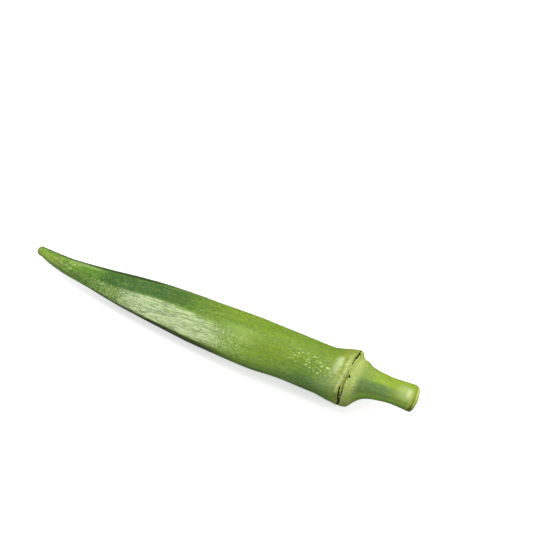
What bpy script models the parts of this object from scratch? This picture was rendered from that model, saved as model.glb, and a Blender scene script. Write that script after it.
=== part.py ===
"""A picked okra pod lying on its side, as one closed solid in metres, +Z up.

The pod runs along X, its blunt tip at -X and its cut stalk at +X. It lies on the floor (Z = 0) on the
undersides of its rim and its belly, with the tip clear of the floor. The origin is below the middle of the
pod, at floor height.

In the tables below, a place along the pod is in millimetres from the rim, the ring where the flower's calyx
fell off: negative towards the tip, positive towards the stalk. Angles go round the pod from +Y (0 degrees)
over the top (90 degrees).
"""

import math

import bmesh
import bpy

MM = 0.001
NAME = "okra_pod"

# Places along the pod, millimetres from the rim
TIP = -128.5
TIP_DOME = 1.5  # length of the rounded tip
STALK_EDGE = 21.8  # where the stalk turns into its cut end
CUT_DOME = 1.3  # how far the middle of the cut end stands out

# Radius of the pod, cap and stalk: (place, radius)
RADII = (
    (TIP, 1.75),
    (-121, 2.55),
    (-111, 3.45),
    (-96, 5.15),
    (-83, 6.7),
    (-70, 7.9),
    (-56, 8.6),
    (-36, 8.95),
    (-20, 8.4),
    (-9, 8.3),
    (-1.5, 9.65),
    (0, 9.75),
    (1.3, 9.1),
    (2.6, 8.5),
    (4.2, 7.2),
    (6.7, 5.5),
    (10, 4.7),
    (15, 4.2),
    (STALK_EDGE, 4.45),
)

# Middle of each cross-section: (place, Y, height of the middle over the underside of the rim)
CENTRES = (
    (TIP, -0.35, 7.65),
    (-121, -1.25, 7.45),
    (-111, -2.0, 7.5),
    (-96, -1.95, 7.5),
    (-70, -1.5, 7.95),
    (-50, -1.55, 8.4),
    (-32, -1.45, 9.0),
    (-20, -1.05, 9.4),
    (-9, -0.95, 9.55),
    (0, 0, 9.75),
    (1.3, -0.5, 9.3),
    (2.6, -0.6, 9.1),
    (4.2, 0.1, 9.8),
    (6, 0.5, 10.1),
    (12, 1.0, 10.45),
    (STALK_EDGE, 1.4, 10.8),
)

# How far a cross-section leans along X for each millimetre towards +Y and towards +Z: (place, to Y, to Z)
LEANS = (
    (-18, 0, 0),
    (0, 0.10, 0.075),
    (4, 0, 0),
    (16, 0, 0),
    (STALK_EDGE, -0.13, 0.21),
)

# Ribs: where they stand at the rim, how far they turn on the way to the tip, and how strong they are, from
# 0 for a round cross-section to 1 for flat faces between sharp ribs
RIB_ANGLES = (5, 45, 91, 165, 197, 235, 282, 324)
RIB_TURN = 37
RIB_TURN_STARTS = -20
RIB_TURN_ENDS = -115
RIB_STRENGTHS = (
    (TIP, 0.2),
    (-112, 0.4),
    (-96, 0.85),
    (-62, 0.85),
    (-42, 0.5),
    (-20, 0.2),
    (-6, 0.05),
    (0, 0),
)

# The scar of the calyx, a groove round the rim
GROOVE_DEPTH = 0.4
GROOVE_HALF_WIDTH = 0.4

# The soft underside is pressed flat by this much where the pod lies on the floor
PRESSED = 0.4

# Mesh
STEPS_PER_FACE = 6
POD_STEP = 3.5
NECK = -12  # the cross-sections are closer together from here to the cap
NECK_STEP = 1.6
CAP_STEP = 0.9
CAP_END = 8
STALK_STEP = 2.0
DOME_STEPS = 4

SKIN_COLOUR = (0.23, 0.36, 0.06, 1)
SKIN_ROUGHNESS = 0.5


def tangent(table, column, row):
    """Slope of the smooth curve at a row of a table: none at a peak or dip, so that it never overshoots."""
    if row in (0, len(table) - 1):
        return 0.0
    before, here, after = table[row - 1], table[row], table[row + 1]
    slope_in = (here[column] - before[column]) / (here[0] - before[0])
    slope_out = (after[column] - here[column]) / (after[0] - here[0])
    if slope_in * slope_out <= 0:
        return 0.0
    return 2 * slope_in * slope_out / (slope_in + slope_out)


def smooth(table, place, column=1):
    """A table's column at a place along the pod, on a smooth curve through its rows."""
    if place <= table[0][0]:
        return table[0][column]
    if place >= table[-1][0]:
        return table[-1][column]
    row = max(i for i in range(len(table) - 1) if table[i][0] <= place)
    start, end = table[row], table[row + 1]
    length = end[0] - start[0]
    t = (place - start[0]) / length
    value = (2 * t**3 - 3 * t**2 + 1) * start[column] + (3 * t**2 - 2 * t**3) * end[column]
    value += (t**3 - 2 * t**2 + t) * length * tangent(table, column, row)
    return value + (t**3 - t**2) * length * tangent(table, column, row + 1)


def rib_angles(place):
    """Angles of the ribs at a place: they wind slowly round the pod on the way to the tip."""
    t = (place - RIB_TURN_STARTS) / (RIB_TURN_ENDS - RIB_TURN_STARTS)
    t = min(max(t, 0), 1)
    turned = RIB_TURN * (3 * t**2 - 2 * t**3)
    return [math.radians(angle + turned) for angle in RIB_ANGLES]


def radius_at(place):
    """Distance from the middle to the ribs, with the groove of the scar taken out."""
    groove = GROOVE_DEPTH * max(0, 1 - abs(place) / GROOVE_HALF_WIDTH)
    return smooth(RADII, place) - groove


def cross_section(place, shrink=1.0, forward=0.0):
    """Points round the pod at a place. A dome's rings shrink, and move forward from the place it starts."""
    radius = radius_at(place) * shrink
    strength = smooth(RIB_STRENGTHS, place)
    ribs = rib_angles(place)
    points = []
    for rib, next_rib in zip(ribs, ribs[1:] + [ribs[0] + 2 * math.pi]):
        half_width = (next_rib - rib) / 2
        for step in range(STEPS_PER_FACE):
            from_middle = half_width * (2 * step / STEPS_PER_FACE - 1)
            flat = math.cos(half_width) / math.cos(from_middle)
            reach = radius * (1 - strength + strength * flat)
            angle = rib + half_width + from_middle
            across, up = reach * math.cos(angle), reach * math.sin(angle)
            points.append(point_of(place, across, up, forward))
    return points


def point_of(place, across, up, forward=0.0):
    """A point of a cross-section, from its place across and up from the middle."""
    lean = across * smooth(LEANS, place, 1) + up * smooth(LEANS, place, 2)
    x = place + forward + lean
    y = smooth(CENTRES, place, 1) + across
    z = smooth(CENTRES, place, 2) + up
    return (x, y, z)


def places_between(start, end, step):
    """Evenly spaced places from start up to but not including end, about a step apart."""
    count = max(1, round((end - start) / step))
    return [start + (end - start) * i / count for i in range(count)]


def places_along():
    """Where the cross-sections are, from the rounded tip to the edge of the cut end."""
    places = places_between(TIP + TIP_DOME, NECK, POD_STEP)
    places += places_between(NECK, -GROOVE_HALF_WIDTH, NECK_STEP)
    places += [-GROOVE_HALF_WIDTH, 0, GROOVE_HALF_WIDTH]
    places += places_between(GROOVE_HALF_WIDTH, CAP_END, CAP_STEP)[1:]
    places += places_between(CAP_END, STALK_EDGE, STALK_STEP)
    return places + [STALK_EDGE]


def dome_shares():
    """For the rings of a dome: (share of the radius, share of the height), from the rim to near the top."""
    angles = [math.pi / 2 * i / DOME_STEPS for i in range(1, DOME_STEPS)]
    return [(math.cos(a), math.sin(a)) for a in angles]


def sections():
    """Every cross-section from the tip to the cut end, without the two end points."""
    tip = TIP + TIP_DOME
    front = [cross_section(tip, share, -TIP_DOME * height) for share, height in reversed(dome_shares())]
    body = [cross_section(place) for place in places_along()]
    back = [cross_section(STALK_EDGE, share, CUT_DOME * height) for share, height in dome_shares()]
    return front + body + back


def settle(points):
    """Centres the points over the origin, sinks them a little and presses flat what is under the floor."""
    lowest = min(z for x, y, z in points)
    middle_x = (min(x for x, y, z in points) + max(x for x, y, z in points)) / 2
    middle_y = (min(y for x, y, z in points) + max(y for x, y, z in points)) / 2
    return [(x - middle_x, y - middle_y, max(0, z - lowest - PRESSED)) for x, y, z in points]


def skin_material():
    material = bpy.data.materials.new("okra_skin")
    material.use_nodes = True
    shader = material.node_tree.nodes["Principled BSDF"]
    shader.inputs["Base Color"].default_value = SKIN_COLOUR
    shader.inputs["Roughness"].default_value = SKIN_ROUGHNESS
    shader.inputs["Metallic"].default_value = 0
    return material


def pod_mesh():
    """The lofted skin: rings of four-sided faces, closed by a fan of triangles at each end."""
    rings = sections()
    around = len(rings[0])
    tip_point = point_of(TIP + TIP_DOME, 0, 0, -TIP_DOME)
    end_point = point_of(STALK_EDGE, 0, 0, CUT_DOME)
    points = settle([point for ring in rings for point in ring] + [tip_point, end_point])

    mesh = bpy.data.meshes.new(NAME)
    shape = bmesh.new()
    corners = [shape.verts.new([length * MM for length in point]) for point in points]
    tip_corner, end_corner = corners[-2:]
    last = (len(rings) - 1) * around
    for i in range(around):
        beside = (i + 1) % around
        shape.faces.new((tip_corner, corners[beside], corners[i]))
        for here in range(0, last, around):
            after = here + around
            square = (here + i, here + beside, after + beside, after + i)
            shape.faces.new([corners[corner] for corner in square])
        shape.faces.new((end_corner, corners[last + i], corners[last + beside]))
    bmesh.ops.recalc_face_normals(shape, faces=shape.faces[:])
    shape.to_mesh(mesh)
    shape.free()
    mesh.shade_smooth()
    mesh.materials.append(skin_material())
    return mesh


def main():
    for leftover in list(bpy.data.objects):
        bpy.data.objects.remove(leftover, do_unlink=True)
    pod = bpy.data.objects.new(NAME, pod_mesh())
    bpy.context.scene.collection.objects.link(pod)


main()
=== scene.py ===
"""The looks of a picked okra pod: its fine skin, the floor, the lights and the camera.

The pod has the shape of the CAD solid, made again at a much finer pitch, with the ribs rounded and the small
features added. Places along the pod are in millimetres from the rim, where the calyx fell off: negative
towards the tip, positive towards the stalk. Angles go round the pod from +Y (0 degrees) over the top (90).
"""

import math

import bpy
import numpy as np
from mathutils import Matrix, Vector, noise


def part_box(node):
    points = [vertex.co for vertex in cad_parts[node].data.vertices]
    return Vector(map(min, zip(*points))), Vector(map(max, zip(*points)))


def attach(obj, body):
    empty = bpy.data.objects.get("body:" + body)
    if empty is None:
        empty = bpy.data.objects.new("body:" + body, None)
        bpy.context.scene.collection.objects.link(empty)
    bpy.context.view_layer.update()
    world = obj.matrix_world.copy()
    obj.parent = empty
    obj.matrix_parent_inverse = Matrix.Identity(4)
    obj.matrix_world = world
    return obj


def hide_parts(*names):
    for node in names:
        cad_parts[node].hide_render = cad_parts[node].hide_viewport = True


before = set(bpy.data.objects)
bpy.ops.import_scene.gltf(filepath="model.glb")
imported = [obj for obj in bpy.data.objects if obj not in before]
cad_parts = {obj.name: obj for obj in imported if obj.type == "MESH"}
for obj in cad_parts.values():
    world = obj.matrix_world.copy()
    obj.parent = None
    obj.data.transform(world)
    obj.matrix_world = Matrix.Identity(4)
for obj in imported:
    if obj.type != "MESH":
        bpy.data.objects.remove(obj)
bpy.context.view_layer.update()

MM = 0.001
NODE = "okra_pod"

# ---------------------------------------------------------------- the shape, as in the CAD part

# Millimetres and degrees
TIP = -128.5
TIP_DOME = 1.5
STALK_EDGE = 21.8
CUT_DOME = 1.3
PRESSED = 0.4

# (place, radius)
RADII = (
    (TIP, 1.75),
    (-121, 2.55),
    (-111, 3.45),
    (-96, 5.15),
    (-83, 6.7),
    (-70, 7.9),
    (-56, 8.6),
    (-36, 8.95),
    (-20, 8.4),
    (-9, 8.3),
    (-1.5, 9.65),
    (0, 9.75),
    (1.3, 9.1),
    (2.6, 8.5),
    (4.2, 7.2),
    (6.7, 5.5),
    (10, 4.7),
    (15, 4.2),
    (STALK_EDGE, 4.45),
)

# (place, Y, height of the middle over the underside of the rim)
CENTRES = (
    (TIP, -0.35, 7.65),
    (-121, -1.25, 7.45),
    (-111, -2.0, 7.5),
    (-96, -1.95, 7.5),
    (-70, -1.5, 7.95),
    (-50, -1.55, 8.4),
    (-32, -1.45, 9.0),
    (-20, -1.05, 9.4),
    (-9, -0.95, 9.55),
    (0, 0, 9.75),
    (1.3, -0.5, 9.3),
    (2.6, -0.6, 9.1),
    (4.2, 0.1, 9.8),
    (6, 0.5, 10.1),
    (12, 1.0, 10.45),
    (STALK_EDGE, 1.4, 10.8),
)

# (place, lean along X for each millimetre towards +Y, and towards +Z)
LEANS = (
    (-18, 0, 0),
    (0, 0.10, 0.075),
    (4, 0, 0),
    (16, 0, 0),
    (STALK_EDGE, -0.13, 0.21),
)

RIB_ANGLES = (5, 45, 91, 165, 197, 235, 282, 324)
RIB_TURN = 37
RIB_TURN_STARTS = -20
RIB_TURN_ENDS = -115

# Ribs that stray sideways: (number of the rib, place where it strays most, half-length, degrees)
RIB_SWAYS = (
    (3, -71, 22, -7.5),
    (3, -95, 22, -17),
    (4, -92, 20, -11),
    (1, -60, 24, 2),
    (2, -40, 34, 15),
    (5, -80, 26, 4),
    (6, -52, 24, -4),
    (7, -75, 26, 3),
)

# (place, strength of the ribs, how crisp they are)
RIBS = (
    (TIP, 0.2, 12),
    (-112, 0.4, 14),
    (-96, 0.85, 34),
    (-62, 0.85, 34),
    (-42, 0.5, 20),
    (-20, 0.25, 14),
    (-6, 0.15, 12),
    (0, 0.05, 12),
    (1, 0, 12),
)

# ---------------------------------------------------------------- the fine skin

# Spacing of the skin's points: steps once round the pod, and millimetres along it
STEPS_AROUND = 208
SKIN_STEP = 0.42
RIM_STEP = 0.15
RIM_ZONE = (-2.4, 3.4)  # where the rings are a rim step apart
END_STEP = 0.25
DOME_STEPS = 16

# Heights of the small features of the skin, in millimetres
LUMPS = 0.1
VEINS = 0.03
POD_GRIT = 0.025
CAP_GRIT = 0.05
STALK_RIDGES = 0.07
STALK_GRIT = 0.015
SCAR_LIPS = 0.13
RIM_SWELLING = 0.05
CUT_SWELLING = 0.1
TIP_WAIST = 0.1
CUT_BEVEL = 0.3  # how far the stalk's edge is rounded off
SCAR_STEP = 0.3  # the cap starts this much lower than the rim, on its upper side
CRACK_DEPTH = 0.5
UPPER_SIDE = 50  # angle of the side where the cut's bevel and the scar's step are largest

# The scar of the calyx isn't quite straight: (angle round the pod, place)
SCAR_LINE = (
    (-40, 0.1),
    (20, -0.3),
    (45, -0.3),
    (60, 0.0),
    (92, 0.1),
    (113, 0.8),
    (145, 1.2),
    (190, 1.2),
    (250, 0.6),
    (320, 0.1),
    (380, -0.3),
)

# Where the scar has cracked open: (first angle, last angle, distance from the scar's line at each, width)
CRACKS = (
    (38, 54, 0, 0, 0.5),
    (54, 82, 0, 0, 1.05),
    (80, 97, 0, 0, 0.45),
    (112, 119, 0.35, 0.3, 1.1),
    (119, 123, 0, -0.1, 1.1),
    (139, 176, 0, 0, 0.55),
    (144, 178, -0.95, -0.15, 0.85),
    (174, 212, 0, 0, 1.0),
    (236, 262, 0, 0, 0.8),
    (280, 322, 0.1, 0, 0.9),
    (338, 366, 0, 0.1, 0.8),
)
CRACK_HALF_WIDTH = 0.34
SCAR_SHADE = 0.15  # strength of the faint line that joins the cracks

# The bloom and its painted sheen: the places between which it fades in, and fades out again
BLOOM_AND_SHEEN_STARTS = (-90, -74)
BLOOM_AND_SHEEN_ENDS = (-56, -43)

# The face between each rib and the next: (how pale its bloom and painted sheen are, how light its green is)
FACES = (
    (0.05, 0.25),
    (0.0, 0.0),
    (1.0, 1.0),
    (0.0, 0.2),
    (0.3, 0.15),
    (0.1, 0.8),
    (0.6, 0.5),
    (0.0, 0.2),
)

# Ribs with a pale edge: (number of the rib, from place, to place, how pale)
PALE_EDGES = (
    (1, -113, -93, 0.95),
    (1, -84, -40, 0.2),
    (2, -84, -38, 0.35),
    (3, -92, -40, 0.4),
    (5, -98, -30, 0.5),
    (7, -100, -40, 0.4),
)
PALE_EDGE_HALF_WIDTH = 0.6
PALE_EDGE_FADES_IN = 5  # over this length
PALE_EDGE_FADES_OUT = 8
RIB_BLEND = 0.08  # share of a face over which its green blends into the next

BAKE_MARGIN = 0.01  # free border of the map for baking, as a share of its side


def tangents(table, column):
    """Slopes of the smooth curve at the rows of a table: none at a peak or dip, so it never overshoots."""
    places = np.array([row[0] for row in table], float)
    values = np.array([row[column] for row in table], float)
    runs = np.diff(values) / np.diff(places)
    slopes = np.zeros(len(table))
    for i in range(1, len(table) - 1):
        if runs[i - 1] * runs[i] > 0:
            slopes[i] = 2 * runs[i - 1] * runs[i] / (runs[i - 1] + runs[i])
    return places, values, slopes


def smooth(table, place, column=1):
    """A table's column at places along the pod, on a smooth curve through its rows."""
    places, values, slopes = tangents(table, column)
    place = np.clip(place, places[0], places[-1])
    row = np.clip(np.searchsorted(places, place, side="right") - 1, 0, len(table) - 2)
    length = places[row + 1] - places[row]
    t = (place - places[row]) / length
    value = (2 * t**3 - 3 * t**2 + 1) * values[row] + (3 * t**2 - 2 * t**3) * values[row + 1]
    value += (t**3 - 2 * t**2 + t) * length * slopes[row]
    return value + (t**3 - t**2) * length * slopes[row + 1]


def ease(low, high, value):
    """0 below low, 1 above high, and a smooth step between."""
    t = np.clip((value - low) / (high - low), 0, 1)
    return t * t * (3 - 2 * t)


def bump(middle, half_width, value):
    """1 at the middle, falling smoothly to 0 a half-width away."""
    return 1 - ease(0, half_width, np.abs(value - middle))


def roughness(points, size, seed):
    """Smooth random numbers, about -1 to 1, for points in millimetres, in lumps of the size given."""
    shift = Vector((seed, 3.1 * seed, -1.7 * seed))
    return np.array([noise.noise(Vector(point / size) + shift) for point in points])


def places_between(start, end, step):
    """Evenly spaced places from start up to but not including end, about a step apart."""
    count = max(1, round((end - start) / step))
    return [start + (end - start) * i / count for i in range(count)]


def places_along():
    """Where the rings of the skin are: closer together round the rim."""
    places = places_between(TIP + TIP_DOME, RIM_ZONE[0], SKIN_STEP)
    places += places_between(*RIM_ZONE, RIM_STEP)
    places += places_between(RIM_ZONE[1], STALK_EDGE, END_STEP)
    return places + [STALK_EDGE]


def rings():
    """For each ring: its place, the share of the radius there and how far it moves forward, as on a dome."""
    quarter = [math.pi / 2 * i / DOME_STEPS for i in range(1, DOME_STEPS)]
    dome = [(math.cos(a), math.sin(a)) for a in quarter]
    found = [(TIP + TIP_DOME, share, -TIP_DOME * height) for share, height in reversed(dome)]
    found += [(place, 1.0, 0.0) for place in places_along()]
    found += [(STALK_EDGE, share, CUT_DOME * height) for share, height in dome]
    return np.array(found)


def turn_at(place):
    """How far the ribs have turned round the pod, in degrees."""
    return RIB_TURN * ease(0, 1, (place - RIB_TURN_STARTS) / (RIB_TURN_ENDS - RIB_TURN_STARTS))


def rib_columns():
    """Evenly spaced steps round the pod: the number of the face each is on, plus its share of that face."""
    ribs = RIB_ANGLES + (RIB_ANGLES[0] + 360,)
    columns = []
    for face, (rib, next_rib) in enumerate(zip(ribs, ribs[1:])):
        steps = round(STEPS_AROUND * (next_rib - rib) / 360)
        columns += [face + step / steps for step in range(steps)]
    return np.array(columns)


def ribs_at(place):
    """Angles of the ribs in radians, one row for each place, with the first rib again at the end of it."""
    angles = np.tile(np.array(RIB_ANGLES, float), (len(place), 1)) + turn_at(place)[:, None]
    for rib, middle, half_length, degrees in RIB_SWAYS:
        angles[:, rib] += degrees * bump(middle, half_length, place)
    return np.radians(np.column_stack([angles, angles[:, 0] + 360]))


def split(column):
    """A column as the number of its face and its share of that face."""
    face = np.floor(column).astype(int)
    return face, column - face


def reach_of(place, angle, ribs, column):
    """Distance from the middle to the skin with its rounded ribs, as a share of the radius."""
    half = np.diff(ribs) / 2
    middle = (ribs[:, 1:] + ribs[:, :-1]) / 2
    face = split(column)[0]
    rows = np.arange(len(face))
    crispness = smooth(RIBS, place, 2)
    total = np.zeros_like(angle)
    for side in (-1, 0, 1):
        beside = (face + side) % len(RIB_ANGLES)
        nearness = np.cos(angle - middle[rows, beside]) / np.cos(half[rows, beside])
        total += np.maximum(nearness, 1e-3) ** crispness
    flat = (total / 2) ** (-1 / crispness)  # 1 on a rib, where two faces meet
    strength = smooth(RIBS, place, 1)
    return 1 - strength + strength * flat


class Skin:
    """The skin as a grid of points: one row for each ring and one column for each step round the pod."""

    def __init__(self):
        ring, columns = rings(), rib_columns()
        self.rows, self.around = len(ring), len(columns)
        self.place = np.repeat(ring[:, 0], self.around)
        self.shrink = np.repeat(ring[:, 1], self.around)
        self.forward = np.repeat(ring[:, 2], self.around)
        self.column = np.tile(columns, self.rows)
        self.ribs = ribs_at(self.place)
        self.angle = self.angle_of()
        reach = smooth(RADII, self.place) * reach_of(self.place, self.angle, self.ribs, self.column)
        self.base = self.points(reach)
        self.grain = self.grain_space()
        self.away = self.from_scar()
        self.crack = self.crack_strength()
        self.fine = self.points(reach + self.relief())
        self.settle()

    def angle_of(self):
        """Angle round the pod of each point, in radians."""
        face, share = split(self.column)
        rows = np.arange(len(face))
        return self.ribs[rows, face] * (1 - share) + self.ribs[rows, face + 1] * share

    def points(self, reach):
        """Points in millimetres at these distances from the middle of the pod."""
        across = reach * self.shrink * np.cos(self.angle)
        up = reach * self.shrink * np.sin(self.angle)
        lean = across * smooth(LEANS, self.place, 1) + up * smooth(LEANS, self.place, 2)
        x = self.place + self.forward + lean
        y = smooth(CENTRES, self.place, 1) + across
        z = smooth(CENTRES, self.place, 2) + up
        return np.stack([x, y, z], 1)

    def grain_space(self):
        """Millimetres along the pod and round it, turning with the ribs, so that streaks follow them."""
        radius = smooth(RADII, self.place) * self.shrink
        unturned = self.angle - np.radians(turn_at(self.place))
        along = self.place + self.forward
        return np.stack([along, radius * np.cos(unturned), radius * np.sin(unturned)], 1)

    def from_scar(self):
        """Distance along the pod from the line of the scar, which wanders a little."""
        degrees = np.degrees(self.angle) % 360
        around = self.base * (0, 1, 1)
        wander = 0.12 * roughness(around, 1.7, seed=9) + 0.07 * roughness(around, 0.7, seed=19)
        return self.place - smooth(SCAR_LINE, degrees) - wander

    def crack_strength(self):
        """How deep the cracks of the scar are, from 0 to 1."""
        degrees = np.degrees(self.angle) % 360
        ragged = roughness(self.base * (0.3, 1, 1), 1.1, seed=4)
        ragged += 0.7 * roughness(self.base, 0.45, seed=14)
        strength = SCAR_SHADE * (1 - ease(0.1, 0.3, np.abs(self.away)))
        for first, last, first_shift, last_shift, wide in CRACKS:
            middle, half = (first + last) / 2, (last - first) / 2
            sideways = (degrees - middle + 180) % 360 - 180
            opened = 1 - ease(half - 3, half + 1, np.abs(sideways))
            along = np.clip(sideways / half, -1, 1)
            shift = (first_shift + last_shift) / 2 + along * (last_shift - first_shift) / 2
            width = CRACK_HALF_WIDTH * wide * (0.25 + 0.75 * opened) * np.clip(1 + 0.9 * ragged, 0.25, 1.9)
            inside = 1 - ease(0.4, 1.2, np.abs(self.away - shift) / width)
            strength = np.maximum(strength, opened * inside)
        return strength

    def relief(self):
        """Height of the small features over the plain ribbed shape, in millimetres."""
        grain, place, away = self.grain, self.place, self.away
        across = self.base * (0, 1, 1)
        pod = 1 - ease(-1.5, 0, away)
        stalk = ease(4, 9, place)
        lumps = roughness(grain * (0.35, 1, 1), 4.5, seed=1)
        veins = roughness(grain * (0.12, 1, 1), 0.9, seed=2)
        veins += 0.6 * roughness(grain * (0.2, 1, 1), 0.5, seed=3)
        ridges = roughness(grain * (0.07, 1, 1), 1.5, seed=6)
        grit = roughness(grain, 0.9, seed=5)
        height = LUMPS * lumps * (pod + 0.4 * (1 - pod))
        height += pod * ease(TIP + 2, TIP + 12, place) * (VEINS * veins + POD_GRIT * grit)
        height += CAP_GRIT * bump(1.5, 4, place) * grit
        height += stalk * (STALK_RIDGES * ridges + STALK_GRIT * grit)
        lips = bump(-0.55, 0.45, away) + bump(0.55, 0.5, away)
        height += SCAR_LIPS * lips * (0.7 + roughness(across, 0.9, seed=7))
        height += RIM_SWELLING * (bump(-1.2, 1.0, away) - bump(-2.5, 1.2, away))
        height += CUT_SWELLING * bump(20.9, 0.8, place) * (0.8 + roughness(across, 2.2, seed=8))
        upper_side = ease(-0.3, 0.8, np.cos(self.angle - math.radians(UPPER_SIDE)))
        height -= CUT_BEVEL * (0.1 + 0.9 * upper_side) * ease(STALK_EDGE - 0.8, STALK_EDGE, place)
        height -= SCAR_STEP * upper_side * ease(0, 0.4, away) * (1 - ease(1.0, 3.4, away))
        height -= CRACK_DEPTH * self.crack
        height -= TIP_WAIST * bump(TIP + 2.6, 1.4, place)
        return height * ease(0, 0.5, self.shrink)

    def rib_distance(self):
        """Distance from the nearest rib, in millimetres."""
        face, share = split(self.column)
        width = np.diff(self.ribs)[np.arange(len(face)), face]
        return np.minimum(share, 1 - share) * width * smooth(RADII, self.place) * self.shrink

    def bloom_and_sheen(self):
        """How pale the bloom and its painted sheen are: strong on some faces, along the middle of the pod.
        """
        pale = np.array(FACES)[split(self.column)[0], 0]
        along = ease(*BLOOM_AND_SHEEN_STARTS, self.place) * (1 - ease(*BLOOM_AND_SHEEN_ENDS, self.place))
        return pale * along * ease(0, 0.5, self.rib_distance())

    def pale_edges(self):
        """How pale the edges of the ribs are."""
        around = smooth(RADII, self.place) * self.shrink
        pale = np.zeros(len(self.place))
        for rib, first, last, strength in PALE_EDGES:
            away = np.abs(self.angle - self.ribs[:, rib]) * around
            starts = ease(first, first + PALE_EDGE_FADES_IN, self.place)
            ends = 1 - ease(last - PALE_EDGE_FADES_OUT, last, self.place)
            pale = np.maximum(pale, strength * starts * ends * (1 - ease(0, PALE_EDGE_HALF_WIDTH, away)))
        return pale

    def lightness(self):
        """How light the green is, blended a little across each rib."""
        light = np.array([row[1] for row in FACES])
        face, share = split(self.column)
        before, after = light[face - 1], light[(face + 1) % len(light)]
        into = 0.5 * (1 - ease(0, RIB_BLEND, share))
        out = 0.5 * ease(1 - RIB_BLEND, 1, share)
        return light[face] * (1 - into - out) + before * into + after * out

    def settle(self):
        """Sets the skin where the CAD solid is, with what is under the floor pressed flat."""
        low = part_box(NODE)[0]
        middle_y = (self.base[:, 1].min() + self.base[:, 1].max()) / 2
        self.shift = np.array([low.x / MM - TIP, -middle_y, -self.base[:, 2].min() - PRESSED])
        self.fine += self.shift
        self.fine[:, 2] = np.maximum(self.fine[:, 2], 0)

    def end_points(self):
        """The middle of the tip and of the cut end."""
        tip = (TIP, CENTRES[0][1], CENTRES[0][2])
        cut = (STALK_EDGE + CUT_DOME, CENTRES[-1][1], CENTRES[-1][2])
        return [np.array(tip) + self.shift, np.array(cut) + self.shift]

    def faces(self):
        """Four-sided faces between the rings, and a fan at each end."""
        here = np.arange((self.rows - 1) * self.around)
        beside = here - here % self.around + (here + 1) % self.around
        squares = np.stack([here, beside, beside + self.around, here + self.around], 1)
        tip, cut = self.rows * self.around, self.rows * self.around + 1
        first = np.arange(self.around)
        last = first + (self.rows - 1) * self.around
        tip_fan = np.stack([np.full(self.around, tip), np.roll(first, -1), first], 1)
        cut_fan = np.stack([np.full(self.around, cut), last, np.roll(last, -1)], 1)
        return squares.tolist() + tip_fan.tolist() + cut_fan.tolist()


def add_value(mesh, name, values):
    mesh.attributes.new(name, "FLOAT", "POINT").data.foreach_set("value", np.asarray(values, np.float32))


def add_vector(mesh, name, vectors):
    flat = np.asarray(vectors, np.float32).ravel()
    mesh.attributes.new(name, "FLOAT_VECTOR", "POINT").data.foreach_set("vector", flat)


def add_bake_map(mesh, skin):
    """A map for baking: u runs along the pod from the tip, v goes once round it."""
    ring = rings()
    along = np.concatenate([[TIP], ring[:, 0] + ring[:, 2], [STALK_EDGE + CUT_DOME]])
    radius = np.concatenate([[0], smooth(RADII, ring[:, 0]) * ring[:, 1], [0]])
    length = np.concatenate([[0], np.cumsum(np.hypot(np.diff(along), np.diff(radius)))])
    inside = 1 - 2 * BAKE_MARGIN
    u = BAKE_MARGIN + inside * length / length[-1]
    v = BAKE_MARGIN + inside * np.arange(skin.around + 1) / skin.around
    low, high = v[:-1], v[1:]
    squares = []
    for here, after in zip(u[1:-2], u[2:-1]):
        near, far = np.full(skin.around, here), np.full(skin.around, after)
        squares.append(np.stack([near, low, near, high, far, high, far, low], 1))
    tip, first = np.full(skin.around, u[0]), np.full(skin.around, u[1])
    last, cut = np.full(skin.around, u[-2]), np.full(skin.around, u[-1])
    middle = (low + high) / 2
    tip_fan = np.stack([tip, middle, first, high, first, low], 1)
    cut_fan = np.stack([cut, middle, last, low, last, high], 1)
    corners = np.concatenate([part.ravel() for part in squares + [tip_fan, cut_fan]])
    mesh.uv_layers.new(name="OFBake").uv.foreach_set("vector", corners.astype(np.float32))


def make_skin(skin):
    """The pod's skin as one closed mesh, with what its material needs to know at each point."""
    points = np.concatenate([skin.fine, skin.end_points()]) * MM
    mesh = bpy.data.meshes.new("okra_skin")
    mesh.from_pydata(points.tolist(), [], skin.faces())
    mesh.shade_smooth()

    def with_ends(values, tip=0, cut=0):
        return np.append(values, [tip, cut])

    end_grain = [(TIP, 0, 0), (STALK_EDGE + CUT_DOME, 0, 0)]
    add_vector(mesh, "grain", np.concatenate([skin.grain, end_grain]))
    add_value(mesh, "place", with_ends(skin.place + skin.forward, TIP, STALK_EDGE + CUT_DOME))
    add_value(mesh, "scar", with_ends(skin.away, TIP, STALK_EDGE))
    add_value(mesh, "top", with_ends(np.sin(skin.angle)))
    add_value(mesh, "side", with_ends(np.cos(skin.angle)))
    add_value(mesh, "edge", with_ends(skin.pale_edges()))
    add_value(mesh, "bloom_and_sheen", with_ends(skin.bloom_and_sheen()))
    add_value(mesh, "light", with_ends(skin.lightness()))
    add_value(mesh, "crack", with_ends(skin.crack))
    add_bake_map(mesh, skin)
    return bpy.data.objects.new("pod_skin", mesh)


# ---------------------------------------------------------------- materials

WANDER = 30.0  # how much the borders between the pod's colours wander, in millimetres

# How far the fine patterns stand out of the skin, in metres
FINE_BUMP = 0.000015
FLECK_BUMP = 0.00005
CURL_BUMP = 0.00003
LINE_BUMP = -0.00003
GRIT_BUMP = 0.00009
FLOOR_BUMP = 0.00002


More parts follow.
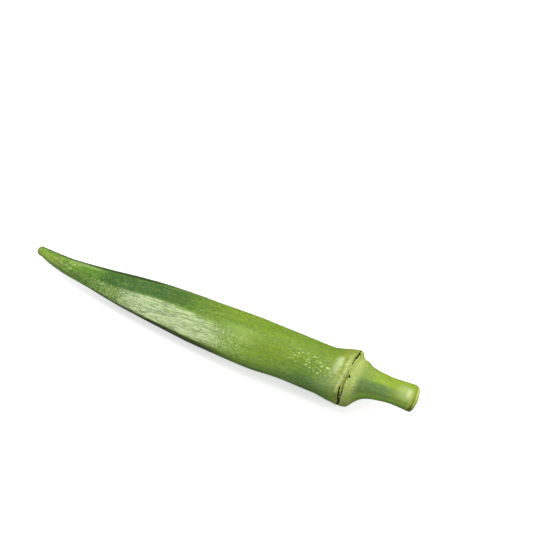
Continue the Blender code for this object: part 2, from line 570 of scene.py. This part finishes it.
class Material:
    """A node material under construction, with short calls for the nodes it uses."""

    def __init__(self, name):
        self.material = bpy.data.materials.new(name)
        self.material.use_nodes = True
        self.tree = self.material.node_tree
        self.shader = self.tree.nodes["Principled BSDF"]

    def node(self, kind, **settings):
        made = self.tree.nodes.new(kind)
        for name, value in settings.items():
            setattr(made, name, value)
        return made

    def put(self, value, socket):
        """Links a socket, or sets a plain value."""
        if isinstance(value, bpy.types.NodeSocket):
            self.tree.links.new(value, socket)
        else:
            socket.default_value = value

    def read(self, name, output="Fac"):
        return self.node("ShaderNodeAttribute", attribute_name=name).outputs[output]

    def math(self, operation, a, b=0.0):
        made = self.node("ShaderNodeMath", operation=operation)
        self.put(a, made.inputs[0])
        self.put(b, made.inputs[1])
        return made.outputs[0]

    def over_all(self, operation, values):
        """One value from several, two at a time."""
        result = values[0]
        for value in values[1:]:
            result = self.math(operation, result, value)
        return result

    def product(self, *values):
        return self.over_all("MULTIPLY", values)

    def total(self, *values):
        return self.over_all("ADD", values)

    def highest(self, *values):
        return self.over_all("MAXIMUM", values)

    def scale(self, vector, by):
        made = self.node("ShaderNodeVectorMath", operation="MULTIPLY")
        self.put(vector, made.inputs[0])
        self.put(by, made.inputs[1])
        return made.outputs[0]

    def span(self, value, low, high, to_low=0.0, to_high=1.0):
        """Maps low..high to to_low..to_high with a smooth step."""
        made = self.node("ShaderNodeMapRange", interpolation_type="SMOOTHSTEP")
        for socket, number in zip(made.inputs[:5], (value, low, high, to_low, to_high)):
            self.put(number, socket)
        return made.outputs[0]

    def hill(self, value, middle, half_width):
        """1 at the middle, falling to 0 a half-width away."""
        away = self.math("ABSOLUTE", self.math("SUBTRACT", value, middle))
        return self.span(away, 0.0, half_width, 1.0, 0.0)

    def noise(self, vector, scale, detail=2.0, roughness=0.5, distortion=0.0):
        made = self.node("ShaderNodeTexNoise")
        self.put(vector, made.inputs["Vector"])
        made.inputs["Scale"].default_value = scale
        made.inputs["Detail"].default_value = detail
        made.inputs["Roughness"].default_value = roughness
        made.inputs["Distortion"].default_value = distortion
        return made.outputs["Fac"]

    def curls(self, vector, scale, width, distortion):
        """Thin winding lines, where a noise crosses its middle."""
        return self.hill(self.noise(vector, scale, 1.0, 0.5, distortion), 0.5, width)

    def spots(self, vector, edge, core):
        """Round spots: 0 at the distance edge from the middle of each, 1 at the distance core."""
        made = self.node("ShaderNodeTexVoronoi")
        self.put(vector, made.inputs["Vector"])
        made.inputs["Scale"].default_value = 1.0
        return self.span(made.outputs["Distance"], edge, core)

    def mix(self, factor, a, b):
        made = self.node("ShaderNodeMix", data_type="RGBA")
        self.put(factor, made.inputs["Factor"])
        self.put(a, made.inputs["A"])
        self.put(b, made.inputs["B"])
        return made.outputs["Result"]

    def paint(self, colour, over, *shares):
        """A colour with another one over it, as strong as the product of the shares."""
        return self.mix(self.product(*shares), colour, over)

    def bump(self, height, distance, normal=None):
        made = self.node("ShaderNodeBump")
        made.inputs["Distance"].default_value = distance
        self.put(height, made.inputs["Height"])
        if normal is not None:
            self.put(normal, made.inputs["Normal"])
        return made.outputs["Normal"]

    def set(self, **inputs):
        for name, value in inputs.items():
            self.put(value, self.shader.inputs[name.replace("_", " ")])


def rgb(red, green, blue):
    return (red, green, blue, 1.0)


WHITE = rgb(1, 1, 1)
FLOOR_WHITE = rgb(0.8, 0.8, 0.8)

TIP_TAN = rgb(0.190, 0.170, 0.055)
TIP_YELLOW = rgb(0.290, 0.420, 0.050)
TIP_GREEN = rgb(0.132, 0.305, 0.020)
TIP_SHADE_AND_FIBRES = rgb(0.085, 0.140, 0.030)
# Painted sheen on the upper side near the tip
TIP_PAINTED_SHEEN = rgb(0.300, 0.430, 0.150)
DEEP_GREEN = rgb(0.036, 0.120, 0.012)
MID_GREEN = rgb(0.105, 0.250, 0.018)
# Painted shade for the pod's dark sides
EDGE_PAINTED_SHADE = rgb(0.018, 0.036, 0.003)
YELLOW_GREEN = rgb(0.184, 0.306, 0.013)
BAND_YELLOW = rgb(0.270, 0.385, 0.018)
SHEEN_PAINTED_GREEN = rgb(0.240, 0.440, 0.020)
# Underside green, partly a painted reflection
COOL_GREEN = rgb(0.175, 0.370, 0.070)
FLANK_SHADE = rgb(0.060, 0.140, 0.050)
# Pale bloom, partly a painted sheen
BLOOM_AND_SHEEN_GREEN = rgb(0.545, 0.705, 0.270)
SPECK_GREEN = rgb(0.460, 0.620, 0.130)
EDGE_PALE = rgb(0.340, 0.500, 0.130)
CURL_GREEN = rgb(0.560, 0.760, 0.260)
CURL_YELLOW = rgb(0.540, 0.720, 0.180)
FLECK_PALE = rgb(0.720, 0.860, 0.300)
RIM_OLIVE = rgb(0.245, 0.330, 0.025)
RIM_PALE = rgb(0.560, 0.660, 0.150)
RIM_GRIT_AND_SHADE = rgb(0.190, 0.300, 0.030)
# Painted highlight, partly pale skin, on the rim and the stalk
HIGHLIGHT_PALE = rgb(0.800, 0.900, 0.480)
CAP_PALE = rgb(0.425, 0.525, 0.125)
CAP_DULL = rgb(0.415, 0.535, 0.135)
STALK_GREEN = rgb(0.278, 0.412, 0.020)
STALK_DULL = rgb(0.230, 0.330, 0.050)
STALK_DEEP = rgb(0.143, 0.252, 0.062)
STALK_LOW = rgb(0.280, 0.495, 0.068)
SCAR_BROWN = rgb(0.025, 0.022, 0.005)
DRY_BROWN = rgb(0.180, 0.170, 0.020)
PITH = rgb(0.560, 0.640, 0.190)


class SkinNodes(Material):
    """The skin's material: the patterns that its colours and bumps share, then one colour for each part.

    Numbers that go with the place or the scar are millimetres along the pod. Those that go with facing or
    the top run from 1 on one side of the pod to -1 on the other. The rest are shares and strengths.
    """

    def __init__(self):
        super().__init__("okra_skin")
        self.grain = self.read("grain", "Vector")
        self.place = self.read("place")
        self.top = self.read("top")
        self.side = self.read("side")
        self.scar = self.read("scar")
        self.crack = self.read("crack")
        self.bloom_and_sheen = self.read("bloom_and_sheen")
        self.light = self.read("light")
        self.broad = self.noise(self.stretched(0.06, 0.22), 1.0, 3.0)
        self.bands = self.noise(self.stretched(0.035, 0.45), 1.0, 2.0)
        self.mottle = self.noise(self.stretched(0.5, 0.9), 1.0, 4.0, 0.6)
        self.grit = self.noise(self.stretched(1.0, 1.4), 1.3, 2.0, 0.6)
        self.streaks = self.noise(self.stretched(0.18, 1.6), 1.0, 2.0, 0.55, 0.6)
        self.fibres = self.noise(self.stretched(0.2, 2.5), 1.0, 1.0, 0.5, 0.4)
        self.lines = self.curls(self.stretched(0.07, 0.75), 1.0, 0.045, 0.5)
        self.fuzz = self.curls(self.stretched(0.8, 1.0), 1.15, 0.075, 0.8)
        self.dots = self.spots(self.stretched(0.55, 1.0), 0.36, 0.2)
        self.flecks = self.spots(self.stretched(0.7, 1.3), 0.42, 0.18)

    def stretched(self, along, across):
        """Grain coordinates with this many units to a millimetre along the pod, and across it."""
        return self.scale(self.grain, (along, across, across))

    def facing(self, degrees):
        """1 on the side of the pod at this angle round it, falling to -1 on the other side."""
        across = self.product(self.side, math.cos(math.radians(degrees)))
        up = self.product(self.top, math.sin(math.radians(degrees)))
        return self.total(across, up)

    def towards(self, degrees, edge, core):
        """A strip along the side of the pod at an angle: 0 where facing is edge, 1 where it is core."""
        return self.span(self.facing(degrees), edge, core)

    def patch(self, middle, half_length, degrees, edge, core):
        """A soft patch round a place, on the side of the pod at an angle."""
        return self.product(self.hill(self.place, middle, half_length), self.towards(degrees, edge, core))

    def between(self, starts, full, ends, gone):
        """A stretch of the pod that fades in from starts to full, and out from ends to gone."""
        return self.product(self.span(self.place, starts, full), self.span(self.place, gone, ends))

    def pod_colour(self):
        """Deep green in the tapering half, yellower by rim and tip, cooler underneath with a painted
        reflection.
        """
        wander = self.product(self.math("SUBTRACT", self.broad, 0.5), WANDER)
        wandering = self.total(self.place, wander)
        colour = self.mix(self.light, DEEP_GREEN, MID_GREEN)
        colour = self.paint(colour, YELLOW_GREEN, self.span(wandering, -76.0, -36.0))
        colour = self.paint(colour, MID_GREEN, self.span(wandering, -93.0, -104.0))
        colour = self.paint(colour, TIP_GREEN, self.span(wandering, -105.0, -117.0))
        # Lighter and cooler underneath: partly a painted reflection.
        under = self.span(self.top, 0.75, -0.1)
        colour = self.paint(colour, COOL_GREEN, under, self.span(self.place, -55.0, -30.0), 0.85)
        banded = self.between(-64.0, -40.0, -20.0, -6.0)
        colour = self.paint(colour, MID_GREEN, self.span(self.bands, 0.5, 0.64, 0.0, 0.32), banded)
        colour = self.paint(colour, BAND_YELLOW, self.span(self.bands, 0.48, 0.36, 0.0, 0.4), banded)
        # A painted sheen on the lower front of the widest part.
        colour = self.paint(colour, SHEEN_PAINTED_GREEN, self.patch(-36.0, 20.0, 158, 0.86, 0.97), 0.8)
        # Painted shade on the low flank by the rim.
        colour = self.paint(colour, MID_GREEN, self.patch(-14.0, 11.0, 150, 0.85, 0.97), 0.55)
        return self.paint(colour, FLANK_SHADE, self.patch(-11.0, 9.0, 180, 0.8, 0.95), 0.45)

    def edge_shade(self, colour):
        """Painted shade on the two dark sides of the tapering half: the one over the floor and the one
        facing away.
        """
        # Painted shade: low over the floor, and high on the side facing away.
        low = self.product(self.towards(212, 0.8, 0.94), self.between(-108.0, -96.0, -50.0, -38.0), 0.82)
        high = self.product(self.towards(30, 0.74, 0.91), self.span(self.place, -66.0, -80.0), 0.72)
        return self.paint(colour, EDGE_PAINTED_SHADE, self.highest(low, high))

    def tip_colours(self, colour):
        """The tip: yellow on top, painted shade at its sides, a painted sheen on one side and brown at its
        very end.
        """
        near = self.span(self.place, -110.0, -119.0)
        patchy = self.span(self.mottle, 0.35, 0.6, 0.45, 1.0)
        colour = self.paint(colour, TIP_YELLOW, near, self.towards(120, 0.7, 0.97), patchy)
        # Painted shade on the upper and lower sides of the tip.
        above = self.product(self.span(self.place, -97.0, -112.0), self.towards(120, 0.45, 0.1), 0.85)
        below = self.product(near, self.towards(100, 0.3, -0.1), 0.38)
        colour = self.paint(colour, TIP_SHADE_AND_FIBRES, self.highest(above, below))
        # A painted sheen on the upper side near the tip.
        colour = self.paint(colour, TIP_PAINTED_SHEEN, self.patch(-107.0, 10.0, 62, 0.93, 0.99), 0.65)
        mottled = self.hill(self.place, -115.0, 14.0)
        colour = self.paint(colour, TIP_TAN, mottled, self.span(self.mottle, 0.52, 0.64), 0.5)
        colour = self.paint(colour, MID_GREEN, mottled, self.span(self.mottle, 0.46, 0.34), 0.6)
        colour = self.paint(colour, SPECK_GREEN, mottled, self.span(self.streaks, 0.5, 0.66), 0.6)
        colour = self.paint(colour, TIP_SHADE_AND_FIBRES, mottled, self.span(self.fibres, 0.48, 0.36), 0.7)
        return self.paint(colour, TIP_TAN, self.span(self.place, -125.8, -128.6))

    def cover(self):
        """How much of the skin the bloom and painted sheen cover: streaks in its middle, curls where it
        thins out.
        """
        both = self.total(self.product(self.streaks, 0.2), self.product(self.fibres, 0.8))
        streaks = self.span(both, 0.43, 0.57, -1.0, 0.9)
        curls = self.product(self.math("SUBTRACT", self.fuzz, 0.35), 1.1)
        thickness = self.total(self.product(self.bloom_and_sheen, 1.05), streaks, curls)
        least = self.product(self.bloom_and_sheen, 0.25)
        shown = self.span(self.bloom_and_sheen, 0.0, 0.15)
        return self.product(self.highest(self.span(thickness, 0.3, 1.15), least), shown)

    def pod_marks(self, colour):
        """The bloom and painted sheen, the fine lines along the pod, its speckle and the pale edges of its
        ribs.
        """
        by_face = self.span(self.light, 0.0, 0.5, 0.4, 1.0)
        pale = self.highest(by_face, self.span(self.place, -72.0, -48.0))
        dark = self.span(self.bloom_and_sheen, 0.0, 0.6, 1.0, 0.3)
        colour = self.paint(colour, DEEP_GREEN, self.span(self.mottle, 0.42, 0.7, 0.0, 0.4), dark)
        fewer = self.span(self.place, -62.0, -34.0, 1.0, 0.6)
        dark_grit = self.span(self.grit, 0.48, 0.32, 0.0, 0.55)
        pale_grit = self.span(self.grit, 0.52, 0.68, 0.0, 0.4)
        pale_streaks = self.span(self.streaks, 0.55, 0.7, 0.0, 0.3)
        colour = self.paint(colour, DEEP_GREEN, dark_grit, dark, fewer)
        colour = self.paint(colour, SPECK_GREEN, pale_grit, pale, fewer)
        colour = self.paint(colour, SPECK_GREEN, pale_streaks, pale, fewer)
        # The pale bloom on the wide front face is partly a painted sheen.
        colour = self.paint(colour, BLOOM_AND_SHEEN_GREEN, self.cover())
        thin = self.total(self.product(self.bloom_and_sheen, 0.4), 0.06)
        colour = self.paint(colour, DEEP_GREEN, self.lines, thin)
        curl = self.mix(self.span(self.place, -75.0, -55.0), CURL_GREEN, CURL_YELLOW)
        colour = self.paint(colour, curl, self.fuzz, self.curliness(), pale)
        colour = self.paint(colour, CURL_YELLOW, self.patch(-37.0, 11.0, 115, 0.92, 0.99), 0.3)
        colour = self.paint(colour, SPECK_GREEN, self.dots, 0.14)
        broken = self.span(self.streaks, 0.3, 0.55, 0.4, 1.0)
        return self.paint(colour, EDGE_PALE, self.read("edge"), broken)

    def curliness(self):
        """How strongly the winding lines show: most where the wide face's bloom and painted sheen begin and
        end.
        """
        begins = self.patch(-92.0, 14.0, 150, 0.84, 0.93)
        ends = self.patch(-42.0, 13.5, 144, 0.84, 0.93)
        strong = self.product(self.highest(begins, ends), 0.95)
        return self.highest(self.span(self.mottle, 0.4, 0.6, 0.05, 0.2), strong)

    def fleck_strength(self):
        """How strongly the flecks, partly painted glints, show: most on the shoulder by the rim and near the
        tip.
        """
        patchy = self.span(self.mottle, 0.38, 0.55, 0.35, 1.0)
        dense = self.patch(-7.2, 5.5, 120, 0.94, 0.98)
        sparse = self.product(self.patch(-14.0, 9.0, 115, 0.94, 0.985), patchy)
        near_tip = self.product(self.patch(-111.0, 8.0, 110, 0.8, 0.95), 0.5)
        return self.highest(dense, sparse, near_tip)

    def rim_colour(self):
        """The rim: olive and pale patches, painted highlight in front, painted shade in a groove, brown scar
        stains.
        """
        rim = self.mix(self.span(self.mottle, 0.35, 0.6), RIM_OLIVE, RIM_PALE)
        rim = self.paint(rim, RIM_OLIVE, self.towards(72, 0.9, 0.98), 0.6)
        rim = self.paint(rim, RIM_GRIT_AND_SHADE, self.span(self.grit, 0.5, 0.34), 0.6)
        # Painted shade in the groove between the shoulder and the lip.
        rim = self.paint(rim, RIM_GRIT_AND_SHADE, self.hill(self.scar, -2.5, 1.1), 0.35)
        patchy = self.span(self.mottle, 0.3, 0.55, 0.6, 1.0)
        # Painted highlights, partly pale skin: on the shoulder and along the lip.
        rim = self.paint(rim, HIGHLIGHT_PALE, self.patch(-4.0, 2.1, 106, 0.9, 0.99), patchy)
        lip = self.hill(self.scar, -1.3, 1.0)
        rim = self.paint(rim, HIGHLIGHT_PALE, lip, self.towards(98, 0.85, 0.97), 0.3)
        by_scar = self.product(self.span(self.scar, -1.5, -0.4), self.towards(128, 0.9, 0.99))
        return self.paint(rim, DRY_BROWN, by_scar, self.span(self.mottle, 0.42, 0.58, 0.2, 0.8))

    def cap_colour(self):
        """The cap: pale above, duller on its flanks, with pale specks at the front."""
        cap = self.mix(self.span(self.top, 0.9, 0.3), CAP_PALE, CAP_DULL)
        cap = self.paint(cap, STALK_DULL, self.span(self.grit, 0.5, 0.34), 0.4)
        return self.paint(cap, FLECK_PALE, self.dots, self.hill(self.facing(128), 1.0, 0.12), 0.8)

    def stalk_colour(self):
        """The stalk: fresh green above, dull and in painted shade on its flank by the cap, lighter
        underneath.
        """
        stalk = self.mix(self.span(self.place, 12.0, 6.0, 0.0, 0.75), STALK_GREEN, STALK_DULL)
        by_cap = self.span(self.place, 19.5, 12.0)
        # Painted shade on the flank by the cap.
        stalk = self.paint(stalk, STALK_DEEP, self.towards(140, 0.8, 0.97), by_cap, 0.95)
        # Lighter underneath, partly a painted reflection.
        stalk = self.paint(stalk, STALK_LOW, self.towards(195, 0.75, 0.95))
        stalk = self.paint(stalk, STALK_DEEP, self.span(self.streaks, 0.5, 0.68), 0.4)
        stalk = self.paint(stalk, SPECK_GREEN, self.span(self.grit, 0.53, 0.68), 0.25)
        # A painted highlight near the cut end, partly pale skin.
        hazy_highlight = self.product(self.patch(18.4, 3.2, 112, 0.75, 0.97), 0.22)
        highlight_spot = self.product(self.patch(19.6, 1.5, 112, 0.85, 0.98), 0.52)
        return self.paint(stalk, HIGHLIGHT_PALE, self.highest(hazy_highlight, highlight_spot))

    def cut_colours(self, colour):
        """The cut end: a brown line round its edge, pale pith inside it and dark specks low on it."""
        broken = self.span(self.mottle, 0.35, 0.6, 0.35, 0.9)
        colour = self.paint(colour, DRY_BROWN, self.hill(self.place, 21.3, 0.5), broken)
        pith = self.mix(self.span(self.mottle, 0.35, 0.65, 0.0, 0.7), PITH, STALK_GREEN)
        colour = self.paint(colour, pith, self.span(self.place, 21.5, 21.8))
        low = self.product(self.towards(190, 0.7, 0.9), self.span(self.place, 20.4, 21.2))
        return self.paint(colour, SCAR_BROWN, low, self.span(self.grit, 0.48, 0.56))

    def colours(self):
        """The whole skin: the pod, the rim over it, then the cap, the stalk, its cut end and the cracks."""
        colour = self.edge_shade(self.tip_colours(self.pod_marks(self.pod_colour())))
        narrower = self.span(self.top, 0.9, 0.2, 0.0, 2.5)
        by_rim = self.span(self.math("SUBTRACT", self.scar, narrower), -7.5, -1.8)
        colour = self.paint(colour, self.rim_colour(), by_rim, 0.92)
        # Pale flecks on the papillae, partly painted glints.
        colour = self.paint(colour, FLECK_PALE, self.flecks, self.fleck_strength())
        end = self.paint(self.cap_colour(), self.stalk_colour(), self.span(self.place, 2.8, 5.4))
        colour = self.paint(colour, end, self.span(self.scar, -0.15, 0.25))
        colour = self.cut_colours(colour)
        return self.paint(colour, SCAR_BROWN, self.span(self.crack, 0.2, 0.6))

    def rough(self):
        """Satin, but dull at the tip, on the flank by the rim, underneath and in the cracks."""
        satin = self.span(self.mottle, 0.3, 0.7, 0.34, 0.44)
        tip = self.span(self.place, -81.0, -92.0, 0.0, 0.55)
        flank = self.product(self.between(-48.0, -33.0, -16.0, 0.0), self.towards(145, 0.65, 0.88), 0.5)
        under = self.product(self.towards(215, 0.82, 0.95), self.span(self.place, -38.0, -50.0), 0.45)
        cracks = self.span(self.crack, 0.1, 0.5, 0.0, 0.5)
        return self.total(satin, self.highest(tip, under, flank, cracks))

    def normals(self):
        """The bumps of the skin, from the finest to the coarsest."""
        normal = self.bump(self.noise(self.grain, 5.0, 2.0, 0.6), FINE_BUMP)
        normal = self.bump(self.flecks, FLECK_BUMP, normal)
        normal = self.bump(self.fuzz, CURL_BUMP, normal)
        normal = self.bump(self.lines, LINE_BUMP, normal)
        return self.bump(self.total(self.streaks, self.grit), GRIT_BUMP, normal)


def skin_material():
    """Plant skin: a weak gloss over a little light that goes in and comes out again."""
    skin = SkinNodes()
    skin.set(Base_Color=skin.colours(), Roughness=skin.rough(), Normal=skin.normals())
    skin.set(Specular_IOR_Level=0.32)
    skin.set(Subsurface_Weight=0.08, Subsurface_Radius=(0.6, 1.0, 0.3), Subsurface_Scale=0.0012)
    return skin.material


def floor_material():
    """A dull white floor that gives itself a little light, so that it stays pale and plain."""
    floor = Material("pale_floor")
    place = floor.node("ShaderNodeTexCoord").outputs["Object"]
    floor.set(Base_Color=FLOOR_WHITE, Roughness=0.9, Specular_IOR_Level=0.1)
    floor.set(Normal=floor.bump(floor.noise(place, 900.0, 3.0), FLOOR_BUMP))
    floor.set(Emission_Color=WHITE, Emission_Strength=0.55)
    return floor.material


# ---------------------------------------------------------------- floor, lights and camera

# Metres, degrees and, for the lens, millimetres
AIM = Vector((0.0082, 0.0349, 0))
CAMERA_AZIMUTH = 27.2
CAMERA_ELEVATION = 50
CAMERA_DISTANCE = 0.2818
LENS = 47.83

FLOOR_HALF = 1.5
FLOOR_DROP = 0.00005  # the floor is this far below the pod, so that the two don't share a plane

SKY = 0.36
GROUND_GLOW = 0.08  # light from below the horizon, so that undersides stay dark but not black
HORIZON = (-0.2, 0.3)  # the glow turns into the sky between these heights of a direction

# Lights round the origin: (name, azimuth, elevation, distance, (width, height), watts)
SOFTBOXES = (
    ("front", -34, 18, 0.8, (0.30, 0.30), 1.6),
    ("left", -92, 60, 0.8, (0.16, 0.20), 0.9),
    ("overhead", -120, 80, 0.9, (0.6, 0.6), 3.4),
    ("back", 150, 30, 0.9, (0.5, 0.5), 2.6),
    ("right", 95, 28, 0.8, (0.5, 0.5), 2.8),
)
# A card that is only seen as a reflection: it gives the wide face at the front its sheen
SHEEN_CARD = ("sheen_card", -34, 9, 0.7, (0.16, 0.22), 6.2)


def direction(azimuth, elevation):
    """Unit vector towards an azimuth, counted from -Y towards +X, and an elevation, in degrees."""
    a, e = math.radians(azimuth), math.radians(elevation)
    return Vector((math.sin(a) * math.cos(e), -math.cos(a) * math.cos(e), math.sin(e)))


def aim(obj, place, target):
    """Puts a light or a camera in the scene at a place, turned to a target."""
    obj.location = place
    obj.rotation_euler = (Vector(target) - Vector(place)).to_track_quat("-Z", "Y").to_euler()
    bpy.context.scene.collection.objects.link(obj)


def softbox(name, azimuth, elevation, distance, size, watts):
    light = bpy.data.lights.new(name, "AREA")
    light.shape = "RECTANGLE"
    light.size, light.size_y = size
    light.energy = watts
    box = bpy.data.objects.new(name, light)
    aim(box, direction(azimuth, elevation) * distance, (0, 0, 0))
    return box


def make_world():
    """A soft glow from the sky and a faint one from below. The camera sees plain white instead."""
    world = bpy.data.worlds.new("studio")
    world.use_nodes = True
    nodes, links = world.node_tree.nodes, world.node_tree.links
    towards = nodes.new("ShaderNodeTexCoord").outputs["Generated"]
    height = nodes.new("ShaderNodeSeparateXYZ")
    glow = nodes.new("ShaderNodeMapRange")
    glow.inputs["From Min"].default_value, glow.inputs["From Max"].default_value = HORIZON
    glow.inputs["To Min"].default_value = GROUND_GLOW
    glow.inputs["To Max"].default_value = SKY
    seen = nodes.new("ShaderNodeLightPath").outputs["Is Camera Ray"]
    strength = nodes.new("ShaderNodeMath")
    strength.operation = "MAXIMUM"
    links.new(towards, height.inputs[0])
    links.new(height.outputs["Z"], glow.inputs["Value"])
    links.new(glow.outputs[0], strength.inputs[0])
    links.new(seen, strength.inputs[1])
    links.new(strength.outputs[0], nodes["Background"].inputs["Strength"])
    nodes["Background"].inputs["Color"].default_value = WHITE
    bpy.context.scene.world = world


def make_floor():
    """A square floor. It lights nothing and isn't reflected, which keeps the pod's underside dark."""
    mesh = bpy.data.meshes.new("floor")
    signs = ((-1, -1), (1, -1), (1, 1), (-1, 1))
    corners = [(x * FLOOR_HALF, y * FLOOR_HALF, -FLOOR_DROP) for x, y in signs]
    mesh.from_pydata(corners, [], [(0, 1, 2, 3)])
    mesh.materials.append(floor_material())
    floor = bpy.data.objects.new("floor", mesh)
    floor.visible_diffuse = False
    floor.visible_glossy = False
    bpy.context.scene.collection.objects.link(floor)


def make_lights():
    make_world()
    for settings in SOFTBOXES:
        softbox(*settings)
    softbox(*SHEEN_CARD).visible_diffuse = False


def make_camera():
    lens = bpy.data.cameras.new("camera")
    lens.lens = LENS
    camera = bpy.data.objects.new("camera", lens)
    aim(camera, AIM + direction(CAMERA_AZIMUTH, CAMERA_ELEVATION) * CAMERA_DISTANCE, AIM)
    bpy.context.scene.camera = camera


def make_pod():
    pod = make_skin(Skin())
    pod.data.materials.append(skin_material())
    bpy.context.scene.collection.objects.link(pod)
    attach(pod, "root")
    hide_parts(NODE)


def main():
    make_camera()
    make_floor()
    make_lights()
    make_pod()
    bpy.context.scene.view_settings.view_transform = "Standard"


main()
